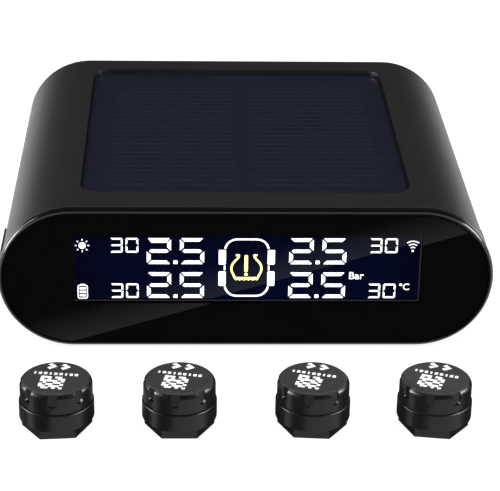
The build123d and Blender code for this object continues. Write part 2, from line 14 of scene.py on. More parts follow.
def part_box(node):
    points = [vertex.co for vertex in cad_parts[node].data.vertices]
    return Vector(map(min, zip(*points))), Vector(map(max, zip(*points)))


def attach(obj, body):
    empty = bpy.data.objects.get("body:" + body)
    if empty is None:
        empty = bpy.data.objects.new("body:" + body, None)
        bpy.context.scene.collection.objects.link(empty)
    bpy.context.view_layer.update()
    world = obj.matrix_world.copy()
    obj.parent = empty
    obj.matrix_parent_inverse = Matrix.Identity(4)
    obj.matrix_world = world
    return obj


bl_info = {
    "name": "Tire pressure monitor",
    "version": (1, 0, 0),
    "blender": (4, 5, 0),
    "location": "3D View > Sidebar > Monitor",
    "description": "Finishes, screen and marks of a solar tire pressure monitor",
    "category": "Object",
}

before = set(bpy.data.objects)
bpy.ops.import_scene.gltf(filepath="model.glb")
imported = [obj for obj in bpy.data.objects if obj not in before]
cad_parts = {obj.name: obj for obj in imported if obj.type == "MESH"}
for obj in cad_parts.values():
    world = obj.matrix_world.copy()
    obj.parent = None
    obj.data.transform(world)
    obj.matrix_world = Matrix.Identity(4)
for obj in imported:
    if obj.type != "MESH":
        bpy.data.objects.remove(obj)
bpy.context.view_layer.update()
MM = 0.001

# ------------------------------------------------------------------ places read from the frame
WINDOW_LOW, WINDOW_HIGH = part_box("display_window")
LCD_LOW, LCD_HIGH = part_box("lcd_panel")
CELLS_LOW, CELLS_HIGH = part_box("solar_cells")
BEZEL_LOW, BEZEL_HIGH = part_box("front_bezel")
LCD_MIDDLE = (LCD_LOW + LCD_HIGH) / 2
SENSORS = (1, 2, 3, 4)
SENSOR_NODES = ("base", "cap", "seal", "valve_insert", "valve_gasket", "board", "cell")

# ------------------------------------------------------------------ layout of the screen
# Plain numbers are millimetres from the middle of the liquid crystal panel, to the right and up.
VIEW_AREA = (0.15, 0.5, 83.8, 17.5)  # middle, width and height of what the mask leaves open
VIEW_LIP = 0.3
PRINT_T = 0.05
LAYER = (WINDOW_HIGH.y + LCD_LOW.y) / 2
BIG_COLUMNS = (-17.25, 17.2)
BIG_ROWS = (4.87, -4.28)
BIG_DIGIT = (5.85, 6.9, 0.92)  # width, height and segment thickness
BIG_PITCH = 8.0
SMALL_COLUMNS = (-29.6, 33.1)
SMALL_ROWS = (6.4, -5.8)
SMALL_DIGIT = (3.05, 3.9, 0.45)
SMALL_PITCH = 3.75
SUN = (-39.7, 6.3)
CHARGE = (-39.8, -6.0)
CAR = (0.0, 0.42)
WARNING = (-0.05, 0.36)
RADIO = (40.2, 6.5)
BAR_UNIT = (26.8, -1.66)
BAR_UNIT_HIGH = 1.9
DEGREE_RING = (37.75, -4.1)
DEGREE_LETTER = (39.1, -4.67)
DEGREE_LETTER_HIGH = 1.75

# Share of the panel's light at the side and top edges, and the depth over which it is regained.
FADE_SIDE = (0.55, 20.0 * MM)
FADE_TOP = (0.6, 12.0 * MM)

# Which edges of a bar are cut back.
UPPER, LOWER, BOTH = 1, -1, 2

# Fine lines in two columns on the solar cells.
FINGER_COUNT = 24
FINGER_LENGTH = 32.2 * MM
FINGER_T = 0.02 * MM
FINGER_LIFT = 0.012 * MM
FINGER_COLUMN = 18.1 * MM
FINGER_SHIFT = 1.4 * MM

# Thin pale line painted along the rounded edge of the bezel as a highlight, as distances in from
# its outline.
RIM_HIGHLIGHT_BAND = (0.42 * MM, 0.8 * MM)
RIM_HIGHLIGHT_GREY = (0.021, 0.021, 0.0215)

# Height below the top of a cap down to which it is painted paler, as painted light falling on its
# top.
TOP_LIGHT_DEPTH = 0.4 * MM

# Squares of the dotted mark on each cap, row by row, with their pitch and side.
MARK_GRID = ("1110110", "1010011", "1111101", "0100110", "1011001", "1101110", "0110101")
MARK_PITCH = 0.8
MARK_DOT = 0.78

# Seven segments in the order top, top right, lower right, bottom, lower left, top left, middle.
LIT = {"0": "111111 ", "2": "11 11 1", "3": "1111  1", "5": "1 11 11"}


# ================================================================== properties
class MonitorColours(bpy.types.PropertyGroup):
    """Colours a user would change."""

    housing: FloatVectorProperty(
        name="Housing",
        description="Moulded plastic of the sleeve, cover and keys",
        subtype="COLOR",
        default=(0.012, 0.012, 0.0125),
    )
    sensor: FloatVectorProperty(
        name="Sensors",
        description="Moulded plastic of the sensor shells",
        subtype="COLOR",
        default=(0.0032, 0.0032, 0.0033),
    )
    screen: FloatVectorProperty(
        name="Screen",
        description="Unlit liquid crystal panel",
        subtype="COLOR",
        default=(0.0, 0.0012, 0.0125),
    )
    segments: FloatVectorProperty(
        name="Segments",
        description="Lit digits and symbols",
        subtype="COLOR",
        default=(1.0, 1.0, 1.0),
    )
    warning: FloatVectorProperty(
        name="Warning",
        description="Lit tyre warning symbol",
        subtype="COLOR",
        default=(1.0, 0.86, 0.32),
    )
    cells: FloatVectorProperty(
        name="Solar cells",
        description="Silicon under the panel glass",
        subtype="COLOR",
        default=(0.027, 0.029, 0.052),
    )


class MonitorSizes(bpy.types.PropertyGroup):
    """Sizes a user would change."""

    brightness: FloatProperty(
        name="Screen brightness",
        description="Strength of the lit digits and symbols",
        default=1.0,
        min=0.0,
    )
    finger_pitch: FloatProperty(
        name="Finger pitch",
        description="Distance between the fine lines on the solar cells",
        subtype="DISTANCE",
        unit="LENGTH",
        default=2.99 * MM,
    )
    finger_width: FloatProperty(
        name="Finger width",
        description="Width of each fine line on the solar cells",
        subtype="DISTANCE",
        unit="LENGTH",
        default=0.5 * MM,
    )
    mark_turn: FloatProperty(
        name="Mark turn",
        description="Turn of the printed marks on each cap",
        subtype="ANGLE",
        unit="ROTATION",
        default=radians(-12.0),
    )


# ================================================================== shader writing
class Socket:
    """One output of a node, so that shader maths reads as Python arithmetic."""

    def __init__(self, finish, socket):
        self.finish = finish
        self.socket = socket

    def maths(self, operation, first, second=0.0):
        return self.finish.node("ShaderNodeMath", {"operation": operation}, {0: first, 1: second})

    def __add__(self, other):
        return self.maths("ADD", self, other)

    __radd__ = __add__

    def __sub__(self, other):
        return self.maths("SUBTRACT", self, other)

    def __rsub__(self, other):
        return self.maths("SUBTRACT", other, self)

    def __mul__(self, other):
        return self.maths("MULTIPLY", self, other)

    __rmul__ = __mul__

    def __truediv__(self, other):
        return self.maths("DIVIDE", self, other)

    def __lt__(self, other):
        return self.maths("LESS_THAN", self, other)

    def __gt__(self, other):
        return self.maths("GREATER_THAN", self, other)

    def __abs__(self):
        return self.maths("ABSOLUTE", self)

    def wrapped(self, period):
        """The remainder after whole periods."""
        return self.maths("FLOORED_MODULO", self, period)

    def at_least(self, low):
        """The larger of this and another value."""
        return self.maths("MAXIMUM", self, low)

    def root(self):
        """The square root."""
        return self.maths("SQRT", self)

    def clamped(self):
        """Held between 0 and 1."""
        return self.finish.node("ShaderNodeClamp", inputs={"Value": self})


class Finish:
    """One material under construction."""

    def __init__(self, name, **settings):
        self.material = bpy.data.materials.new(name)
        self.material.use_nodes = True
        self.tree = self.material.node_tree
        self.shader = self.tree.nodes["Principled BSDF"]
        self.set(**settings)

    def set(self, **settings):
        """Values or links for the shader's sockets, with _ for a space in their names."""
        for name, value in settings.items():
            self.feed(self.shader.inputs[name.replace("_", " ")], value)

    def feed(self, socket, value):
        if isinstance(value, Socket):
            self.tree.links.new(value.socket, socket)
        elif socket.type == "RGBA" and len(value) == 3:
            socket.default_value = (*value, 1.0)
        else:
            socket.default_value = value

    def node(self, kind, settings=None, inputs=None, output=0):
        """Add one node: its settings first, then the values or links of its sockets."""
        made = self.tree.nodes.new(kind)
        for name, value in (settings or {}).items():
            setattr(made, name, value)
        for name, value in (inputs or {}).items():
            self.feed(made.inputs[name], value)
        return Socket(self, made.outputs[output])

    def place(self):
        """Object coordinates, as a vector."""
        return self.node("ShaderNodeTexCoord", output="Object")

    def axes(self):
        """Object coordinates, as three numbers."""
        split = self.node("ShaderNodeSeparateXYZ", inputs={0: self.place()})
        outputs = split.socket.node.outputs
        return [Socket(self, outputs[axis]) for axis in "XYZ"]

    def noise(self, grain, detail=3.0, stretch=(1.0, 1.0, 1.0)):
        """Noise whose features are about one grain across, stretched along each axis."""
        scaled = self.node(
            "ShaderNodeMapping",
            inputs={"Vector": self.place(), "Scale": [1.0 / s for s in stretch]},
        )
        return self.node(
            "ShaderNodeTexNoise",
            inputs={"Vector": scaled, "Scale": 1.0 / grain, "Detail": detail},
            output="Fac",
        )

    def blend(self, amount, first, second):
        """Colour between two colours."""
        sockets = {0: amount, 6: first, 7: second}
        return self.node("ShaderNodeMix", {"data_type": "RGBA"}, sockets, output=2)

    def relief(self, height, depth):
        """Normal of a surface with a fine relief of that depth."""
        return self.node("ShaderNodeBump", inputs={"Height": height, "Distance": depth})

    def crystals(self, size):
        """Distance from the middle of the nearest of many cells of about that size."""
        return self.node(
            "ShaderNodeTexVoronoi",
            inputs={"Vector": self.place(), "Scale": 1.0 / size},
            output="Distance",
        )


def shade_of(colour, factor):
    """A colour made darker or lighter by a factor."""
    return tuple(min(1.0, channel * factor) for channel in colour)


def view_area():
    """The screen's open area: its middle across and up, its width and its height, in metres."""
    off_x, off_z, wide, high = (MM * size for size in VIEW_AREA)
    return LCD_MIDDLE.x + off_x, LCD_MIDDLE.z + off_z, wide, high


# ================================================================== finishes
def moulded_plastic(name, colour, roughness=0.42):
    """Spark-textured plastic: fine grain in the relief, faint cloudiness in gloss and colour."""
    finish = Finish(name)
    grain = 0.35 * MM
    grains = finish.noise(grain, detail=2.0)
    clouds = finish.noise(30 * grain, detail=2.0)
    finish.set(
        Base_Color=finish.blend(clouds, shade_of(colour, 0.88), shade_of(colour, 1.12)),
        Roughness=roughness - 0.05 + 0.06 * clouds + 0.04 * grains,
        Normal=finish.relief(grains, 0.004 * MM),
        Specular_IOR_Level=0.5,
    )
    return finish.material


def cap_plastic(name, colour, top):
    """Sensor shell plastic with fine grain, painted paler above a height as painted light from
    above.
    """
    finish = Finish(name)
    z = finish.axes()[2]
    grains = finish.noise(0.45 * MM, detail=3.0)
    top_light_tone = shade_of(colour, 10.0)
    side = finish.blend(grains, shade_of(colour, 0.5), shade_of(colour, 1.6))
    # Painted light: everything above the height is made much paler, as if the top caught the light
    # from above.
    painted_top_light = finish.blend(grains, shade_of(top_light_tone, 0.55), shade_of(top_light_tone, 1.5))
    finish.set(
        Base_Color=finish.blend(z > top, side, painted_top_light),
        Roughness=0.26 + 0.12 * grains,
        Normal=finish.relief(grains, 0.01 * MM),
    )
    return finish.material


def bezel_gloss(name):
    """Piano-gloss bezel with a painted highlight: a paler grey line along the front half of its
    rounded outer edge, which is also rougher there.
    """
    finish = Finish(name)
    x, y, z = finish.axes()
    radius = (BEZEL_HIGH.z - BEZEL_LOW.z) / 2
    over = (abs(x) - (BEZEL_HIGH.x - radius)).at_least(0.0)
    up = z - (BEZEL_LOW.z + radius)
    reach = (over * over + up * up).root()
    # Painted highlight: a band of the rounded edge, on its front half, is made paler grey.
    line = (reach > radius - RIM_HIGHLIGHT_BAND[1]) * (reach < radius - RIM_HIGHLIGHT_BAND[0])
    haze = finish.noise(6 * MM, detail=2.0)
    painted_rim_highlight = line * (y < (BEZEL_LOW.y + BEZEL_HIGH.y) / 2)
    finish.set(
        Base_Color=finish.blend(painted_rim_highlight, (0.002, 0.002, 0.0021), RIM_HIGHLIGHT_GREY),
        Roughness=0.16 + 0.06 * haze + 0.2 * painted_rim_highlight,
    )
    return finish.material


def window_glass(name):
    """Clear over the liquid crystal's view area, printed black behind the rest."""
    finish = Finish(name)
    x, _, z = finish.axes()
    middle_x, middle_z, wide, high = view_area()
    inside_x = abs(x - middle_x) < wide / 2 + VIEW_LIP * MM
    inside_z = abs(z - middle_z) < high / 2 + VIEW_LIP * MM
    haze = finish.noise(8 * MM, detail=2.0)
    finish.set(
        Base_Color=finish.blend(haze, (0.001, 0.001, 0.001), (0.0014, 0.0014, 0.0014)),
        Roughness=0.002 + 0.008 * haze,
        Alpha=1.0 - (inside_x * inside_z),
    )
    return finish.material


def screen_face(name, colour):
    """Liquid crystal panel: deep blue leak of the backlight that fades towards its edges."""
    finish = Finish(name)
    x, _, z = finish.axes()
    middle_x, middle_z, wide, high = view_area()
    from_side = wide / 2 - abs(x - middle_x)
    from_top = middle_z + high / 2 - z
    fade_side = (FADE_SIDE[0] + from_side / FADE_SIDE[1]).clamped()
    fade_top = (FADE_TOP[0] + from_top / FADE_TOP[1]).clamped()
    leak = finish.noise(22 * MM, detail=1.0)
    glow = finish.blend(leak, shade_of(colour, 0.85), shade_of(colour, 1.15))
    finish.set(
        Base_Color=finish.blend(leak, (0.0, 0.0, 0.0005), (0.0002, 0.0002, 0.001)),
        Roughness=0.002 + 0.008 * leak,
        Emission_Color=finish.blend(fade_side * fade_top, (0.0, 0.0, 0.0008), glow),
        Emission_Strength=1.0,
    )
    return finish.material


def frame_lip(name):
    """Edge of the screen's mask, whose bottom and right bars glow as a painted highlight and the
    rest only very faintly.
    """
    finish = Finish(name)
    x, _, z = finish.axes()
    middle_x, middle_z, wide, high = view_area()
    lit = (z < middle_z - high / 2).at_least(x > middle_x + wide / 2)
    wear = finish.noise(9 * MM, detail=1.0)
    finish.set(
        Base_Color=finish.blend(wear, (0.002, 0.002, 0.002), (0.004, 0.004, 0.004)),
        Roughness=0.4 + 0.1 * wear,
        # Painted highlight: the bottom and right bars glow, the rest glows only very faintly.
        Emission_Color=finish.blend(lit, (0.0005, 0.0005, 0.001), (0.024, 0.023, 0.027)),
        Emission_Strength=1.0,
    )
    return finish.material


def lit_print(name, colour, brightness):
    """Lit segment, slightly uneven like a diffused backlight."""
    finish = Finish(name)
    glow = finish.noise(2.5 * MM, detail=1.0)
    finish.set(
        Base_Color=finish.blend(glow, shade_of(colour, 0.9), colour),
        Roughness=0.5,
        Emission_Color=finish.blend(glow, shade_of(colour, 0.86), colour),
        Emission_Strength=brightness,
    )
    return finish.material


def panel_glass(name):
    """Clear tempered glass with a faint blue anti-reflection tint."""
    finish = Finish(name)
    haze = finish.noise(12 * MM, detail=2.0)
    finish.set(
        Base_Color=finish.blend(haze, (0.006, 0.007, 0.014), (0.008, 0.009, 0.018)),
        Roughness=0.10 + 0.05 * haze,
        Alpha=0.35,
    )
    return finish.material


def silicon(name, colour):
    """Polished silicon sheet with faint grain."""
    finish = Finish(name)
    crystals = finish.crystals(5 * MM)
    finish.set(
        Base_Color=finish.blend(crystals, shade_of(colour, 0.9), shade_of(colour, 1.15)),
        Roughness=0.22 + 0.08 * crystals,
        Specular_IOR_Level=0.35,
    )
    return finish.material


def soft_rubber(name, pitch=1.2 * MM):
    """Matt rubber with a fine square-grid texture."""
    finish = Finish(name)
    x, y, _ = finish.axes()
    ribs = (x.wrapped(pitch) < 0.25 * pitch) + (y.wrapped(pitch) < 0.25 * pitch)
    dust = finish.noise(2 * MM)
    finish.set(
        Base_Color=finish.blend(dust, (0.012, 0.012, 0.012), (0.0216, 0.0216, 0.0216)),
        Roughness=0.75 + 0.15 * dust,
        Normal=finish.relief(ribs + 0.3 * dust, 0.05 * MM),
    )
    return finish.material


def brushed_metal(name, colour, stretch=(1.0, 40.0, 1.0)):
    """Metal with fine marks drawn out along one axis."""
    finish = Finish(name, Metallic=1.0)
    marks = finish.noise(0.15 * MM, stretch=stretch)
    tarnish = finish.noise(3 * MM, detail=2.0)
    finish.set(
        Base_Color=finish.blend(tarnish, shade_of(colour, 0.8), colour),
        Roughness=0.28 + 0.12 * marks,
        Normal=finish.relief(marks, 0.004 * MM),
    )
    return finish.material


def turned_brass(name):
    """Brass with a thread-like run of grooves."""
    finish = Finish(name, Metallic=1.0)
    z = finish.axes()[2]
    groove = abs(z.wrapped(0.79 * MM) - 0.4 * MM) / (0.4 * MM)
    tarnish = finish.noise(1.2 * MM)
    finish.set(
        Base_Color=finish.blend(tarnish, (0.42, 0.27, 0.09), (0.72, 0.5, 0.2)),
        Roughness=0.22 + 0.2 * tarnish,
        Normal=finish.relief(groove, 0.15 * MM),
    )
    return finish.material


def circuit_board(name):
    """Green solder mask over copper tracks, with bare pads."""
    finish = Finish(name)
    x, y, _ = finish.axes()
    along = x.wrapped(1.6 * MM) < 0.35 * MM
    across = y.wrapped(2.1 * MM) < 0.35 * MM
    patch = finish.noise(9 * MM, detail=0.0) > 0.52
    tracks = patch * along + (1.0 - patch) * across
    pads = finish.crystals(3.2 * MM) < 0.13
    mask = finish.blend(tracks, (0.006, 0.07, 0.03), (0.012, 0.13, 0.055))
    finish.set(
        Base_Color=finish.blend(pads, mask, (0.75, 0.72, 0.62)),
        Roughness=0.32 - 0.08 * tracks,
        Metallic=pads,
        Normal=finish.relief(tracks, 0.03 * MM),
    )
    return finish.material


def chip_resin(name):
    """Matt black resin of chips and connectors."""
    finish = Finish(name)
    specks = finish.noise(0.3 * MM)
    finish.set(
        Base_Color=finish.blend(specks, (0.008, 0.008, 0.009), (0.03, 0.03, 0.032)),
        Roughness=0.5 + 0.2 * specks,
        Normal=finish.relief(specks, 0.01 * MM),
    )
    return finish.material


def foil_pouch(name):
    """Crinkled aluminium foil of a pouch cell."""
    finish = Finish(name, Metallic=1.0)
    creases = finish.noise(3.5 * MM, detail=4.0)
    finish.set(
        Base_Color=finish.blend(creases, (0.45, 0.46, 0.48), (0.7, 0.7, 0.72)),
        Roughness=0.3 + 0.2 * creases,
        Normal=finish.relief(creases, 0.25 * MM),
    )
    return finish.material


def insulation(name, colour):
    """Glossy wire insulation with slight colour wander."""
    finish = Finish(name)
    wander = finish.noise(1.5 * MM)
    finish.set(
        Base_Color=finish.blend(wander, shade_of(colour, 0.7), shade_of(colour, 1.2)),
        Roughness=0.35 + 0.1 * wander,
    )
    return finish.material


def amber_film(name):
    """Flexible circuit with its parallel copper lines."""
    finish = Finish(name)
    lines = finish.axes()[0].wrapped(1.0 * MM) < 0.5 * MM
    finish.set(
        Base_Color=finish.blend(lines, (0.25, 0.09, 0.015), (0.5, 0.24, 0.06)),
        Roughness=0.35 - 0.1 * lines,
    )
    return finish.material


def pale_tape(name, colour):
    """Foam tape with an open cell texture."""
    finish = Finish(name)
    foam = finish.noise(0.6 * MM)
    finish.set(
        Base_Color=finish.blend(foam, shade_of(colour, 0.8), colour),
        Roughness=0.8 + 0.1 * foam,
        Normal=finish.relief(foam, 0.05 * MM),
    )
    return finish.material


def mark_ink(name):
    """White pad-printed ink, a little uneven over the moulded grain, and glowing faintly as
    painted light.
    """
    finish = Finish(name)
    wear = finish.noise(0.5 * MM)
    finish.set(
        Base_Color=finish.blend(wear, (0.62, 0.62, 0.62), (0.88, 0.88, 0.88)),
        Roughness=0.5 + 0.1 * wear,
        # Painted light: the ink glows faintly, though it is no lamp.
        Emission_Color=(0.9, 0.9, 0.9),
        Emission_Strength=0.25,
    )
    return finish.material


def studio_floor(name):
    """Plain pale table."""
    finish = Finish(name)
    soft = finish.noise(0.4, detail=1.0)
    finish.set(
        Base_Color=finish.blend(soft, (0.3, 0.3, 0.3), (0.32, 0.32, 0.32)),
        Roughness=0.9,
        Emission_Color=(1.0, 1.0, 1.0),
        Emission_Strength=0.85,
    )
    return finish.material


# ================================================================== modelling helpers
def start_clean():
    """Nothing selected, object mode."""
    bpy.ops.object.select_all(action="DESELECT")


def finished(name, material, body):
    """Name the active piece, put its place into its mesh, colour it and hang it on its body."""
    piece = bpy.context.active_object
    bpy.ops.object.transform_apply(location=True, rotation=True, scale=True)
    piece.name = name
    piece.data.name = name
    piece.data.materials.clear()
    piece.data.materials.append(material)
    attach(piece, body)
    return piece


def join(pieces):
    """Join pieces into the first one, which is left active and selected."""
    start_clean()
    for piece in pieces:
        piece.select_set(True)
    bpy.context.view_layer.objects.active = pieces[0]
    bpy.ops.object.join()
    return pieces[0]


def bar(centre, size, cut=None, reach=0.0):
    """Flat bar facing -Y. The corners of its cut edges go back by that share of its height."""
    start_clean()
    wide, high = size
    bpy.ops.mesh.primitive_cube_add(size=1.0)
    piece = bpy.context.active_object
    piece.scale = (wide * MM, PRINT_T * MM, high * MM)
    piece.location = (centre[0] * MM, 0.0, centre[1] * MM)
    bpy.ops.object.transform_apply(location=True, rotation=False, scale=True)
    if cut:
        bpy.ops.object.mode_set(mode="EDIT")
        bpy.ops.mesh.select_all(action="DESELECT")
        bpy.ops.object.mode_set(mode="OBJECT")
        for edge in piece.data.edges:
            ends = [piece.data.vertices[i].co for i in edge.vertices]
            along_y = abs(ends[0].x - ends[1].x) < 1e-9 and abs(ends[0].z - ends[1].z) < 1e-9
            up = ends[0].z > centre[1] * MM
            if along_y and (cut == BOTH or up == (cut == UPPER)):
                edge.select = True
                for i in edge.vertices:
                    piece.data.vertices[i].select = True
        bpy.ops.object.mode_set(mode="EDIT")
        bpy.ops.mesh.select_mode(type="EDGE")
        bpy.ops.mesh.bevel(offset=reach * high * MM, segments=1, affect="EDGES")
        bpy.ops.object.mode_set(mode="OBJECT")
    return piece


def turn_flat(piece, centre, angle):
    """Turn a flat piece in its own plane about a point."""
    middle = Vector((centre[0] * MM, 0.0, centre[1] * MM))
    turn = Matrix.Rotation(-angle, 4, "Y")
    piece.data.transform(Matrix.Translation(middle) @ turn @ Matrix.Translation(-middle))
    return piece


def digit(figure, centre, size):
    """One seven-segment figure made of mitred bars, with its corners cut."""
    x, z = centre
    wide, high, thick = size
    half = high / 2
    flat = wide - 0.85 * thick
    tall = half - 0.6 * thick
    lift = (half - 0.25 * thick) / 2
    right, left = x + (wide - thick) / 2, x - (wide - thick) / 2
    on = [mark == "1" for mark in LIT[figure]]
    made = []
    if on[0]:
        made.append(bar((x, z + half - thick / 2), (flat, thick), LOWER, 0.8))
    if on[3]:
        made.append(bar((x, z - half + thick / 2), (flat, thick), UPPER, 0.8))
    for lit, side_x, side_z, turn in (
        (on[1], right, z + lift, -pi / 2),
        (on[2], right, z - lift, -pi / 2),
        (on[4], left, z - lift, pi / 2),
        (on[5], left, z + lift, pi / 2),
    ):
        if lit:
            upright = bar((side_x, side_z), (tall, thick), LOWER, 0.95)
            made.append(turn_flat(upright, (side_x, side_z), turn))
    if on[6]:
        made.append(bar((x, z), (wide - 1.3 * thick, 0.95 * thick), BOTH, 0.48))
    return made


def stroke(points, width, cyclic=False):
    """Line of constant width through points, flattened to the thickness of a print."""
    start_clean()
    line = bpy.data.curves.new("stroke", "CURVE")
    line.dimensions = "3D"
    line.bevel_depth = width / 2 * MM
    line.bevel_resolution = 2
    line.use_fill_caps = True
    spline = line.splines.new("POLY")
    spline.points.add(len(points) - 1)
    for point, (x, z) in zip(spline.points, points):
        point.co = (x * MM, 0.0, z * MM, 1.0)
    spline.use_cyclic_u = cyclic
    piece = bpy.data.objects.new("stroke", line)
    bpy.context.scene.collection.objects.link(piece)
    bpy.context.view_layer.objects.active = piece
    piece.select_set(True)
    bpy.ops.object.convert(target="MESH")
    piece = bpy.context.active_object
    piece.scale = (1.0, PRINT_T / width, 1.0)
    bpy.ops.object.transform_apply(location=False, rotation=False, scale=True)
    return piece


def arc(centre, radius, start, end, steps=16):
    """Points along a circular arc; the angles are in degrees, counter-clockwise from the right."""
    x, z = centre
    angles = [radians(start + (end - start) * k / steps) for k in range(steps + 1)]
    return [(x + radius * cos(a), z + radius * sin(a)) for a in angles]


def rounded_box(centre, size, radius):
    """Outline of a rectangle with round corners."""
    x, z = centre
    in_x, in_z = size[0] / 2 - radius, size[1] / 2 - radius
    corners = ((in_x, in_z, 0), (-in_x, in_z, 90), (-in_x, -in_z, 180), (in_x, -in_z, 270))
    return [p for cx, cz, a in corners for p in arc((x + cx, z + cz), radius, a, a + 90, 6)]


def plate(outline_box, radius):
    """Solid rounded rectangle, thin along Y."""
    centre, size = outline_box
    start_clean()
    bpy.ops.mesh.primitive_plane_add(size=1.0, rotation=(pi / 2, 0.0, 0.0))
    piece = bpy.context.active_object
    piece.scale = (size[0] * MM, size[1] * MM, 1.0)
    piece.location = (centre[0] * MM, PRINT_T / 2 * MM, centre[1] * MM)
    bpy.ops.object.transform_apply(location=True, rotation=True, scale=True)
    bpy.ops.object.mode_set(mode="EDIT")
    bpy.ops.mesh.select_all(action="SELECT")
    bpy.ops.mesh.bevel(offset=radius * MM, segments=4, affect="VERTICES")
    bpy.ops.mesh.select_all(action="SELECT")
    bpy.ops.mesh.extrude_region_move(TRANSFORM_OT_translate={"value": (0, -PRINT_T * MM, 0)})
    bpy.ops.mesh.select_all(action="SELECT")
    bpy.ops.mesh.normals_make_consistent(inside=False)
    bpy.ops.object.mode_set(mode="OBJECT")
    return piece


def lettering(text, centre, height):
    """Letters of a unit, centred on a point and made a thin mesh."""
    start_clean()
    bpy.ops.object.text_add(rotation=(pi / 2, 0.0, 0.0))
    words = bpy.context.active_object
    words.data.body = text
    words.data.size = height * MM
    words.data.offset = 0.006 * height * MM
    words.data.extrude = PRINT_T / 2 * MM
    bpy.ops.object.convert(target="MESH")
    piece = bpy.context.active_object
    bpy.ops.object.transform_apply(location=False, rotation=True, scale=True)
    corners = [v.co for v in piece.data.vertices]
    low = [min(c[i] for c in corners) for i in range(3)]
    high = [max(c[i] for c in corners) for i in range(3)]
    middle = Vector([(a + b) / 2 for a, b in zip(low, high)])
    grow = height * MM / (high[2] - low[2])
    to_centre = Matrix.Translation((centre[0] * MM, 0.0, centre[1] * MM))
    piece.data.transform(
        to_centre @ Matrix.Diagonal((grow, 1.0, grow, 1.0)) @ Matrix.Translation(-middle)
    )
    return piece


def onto_screen(pieces, name, material):
    """Join flat pieces and lay them between the window and the liquid crystal panel."""
    join(pieces).location = (LCD_MIDDLE.x, LAYER, LCD_MIDDLE.z)
    return finished(name, material, "display")


def paint(material, *names):
    """Give carried-over nodes a finish."""
    for name in names:
        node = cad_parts[name]
        if not node.material_slots:
            node.data.materials.append(material)
        for held in node.material_slots:
            held.link = "OBJECT"
            held.material = material


# ================================================================== pieces
class MonitorOperator(bpy.types.Operator):
    """Shared settings of the monitor's operators."""

    bl_options = {"REGISTER", "UNDO"}

    @property
    def colours(self):
        return bpy.context.scene.monitor_colours

    @property
    def sizes(self):
        return bpy.context.scene.monitor_sizes


class MONITOR_OT_housing(MonitorOperator):
    """Finish the sleeve, bezel, rear cover, keys, screws, socket and pad."""

    bl_idname = "monitor.housing"
    bl_label = "Housing"

    def execute(self, context):
        black = self.colours.housing
        paint(moulded_plastic("satin_black_plastic", black), "main_housing", "rear_cover")
        keys = moulded_plastic("key_plastic", shade_of(black, 1.3), roughness=0.34)
        paint(keys, "left_button", "right_button")
        paint(bezel_gloss("gloss_black_plastic"), "front_bezel")
        screw_steel = brushed_metal("black_screw_steel", (0.08, 0.08, 0.085))
        paint(screw_steel, "rear_cover_screws", "board_screws")
        paint(brushed_metal("nickel_shell", (0.62, 0.6, 0.56)), "usb_socket", "antenna")
        paint(soft_rubber("pad_rubber"), "non_slip_pad", "solar_gasket")
        return {"FINISHED"}


class MONITOR_OT_window(MonitorOperator):
    """Finish the display window and the liquid crystal panel behind it."""

    bl_idname = "monitor.window"
    bl_label = "Window and panel"

    def execute(self, context):
        paint(window_glass("printed_window"), "display_window")
        paint(screen_face("liquid_crystal", self.colours.screen), "lcd_panel")
        x, z, wide, high = VIEW_AREA
        lip = VIEW_LIP
        bars = [bar((x, z + side * (high + lip) / 2), (wide + 2 * lip, lip)) for side in (1, -1)]
        bars += [bar((x + side * (wide + lip) / 2, z), (lip, high)) for side in (1, -1)]
        onto_screen(bars, "view_frame", frame_lip("frame_lip"))
        return {"FINISHED"}


class MONITOR_OT_readings(MonitorOperator):
    """Lit pressure and temperature figures with their units."""

    bl_idname = "monitor.readings"
    bl_label = "Readings"

    def execute(self, context):
        white = lit_print("lit_white", self.colours.segments, self.sizes.brightness)
        made = []
        for x in BIG_COLUMNS:
            for z in BIG_ROWS:
                made += digit("2", (x - BIG_PITCH / 2, z), BIG_DIGIT)
                made += digit("5", (x + BIG_PITCH / 2, z), BIG_DIGIT)
                made.append(plate(((x, z - BIG_DIGIT[1] / 2 + 0.48), (1.0, 0.92)), 0.15))
        onto_screen(made, "pressure_figures", white)
        made = []
        for x in SMALL_COLUMNS:
            for z in SMALL_ROWS:
                made += digit("3", (x - SMALL_PITCH / 2, z), SMALL_DIGIT)
                made += digit("0", (x + SMALL_PITCH / 2, z), SMALL_DIGIT)
        onto_screen(made, "temperature_figures", white)
        units = [
            lettering("Bar", BAR_UNIT, BAR_UNIT_HIGH),
            lettering("C", DEGREE_LETTER, DEGREE_LETTER_HIGH),
            stroke(arc(DEGREE_RING, 0.26, 0, 360, 12)[:-1], 0.2, cyclic=True),
        ]
        onto_screen(units, "unit_marks", white)
        return {"FINISHED"}


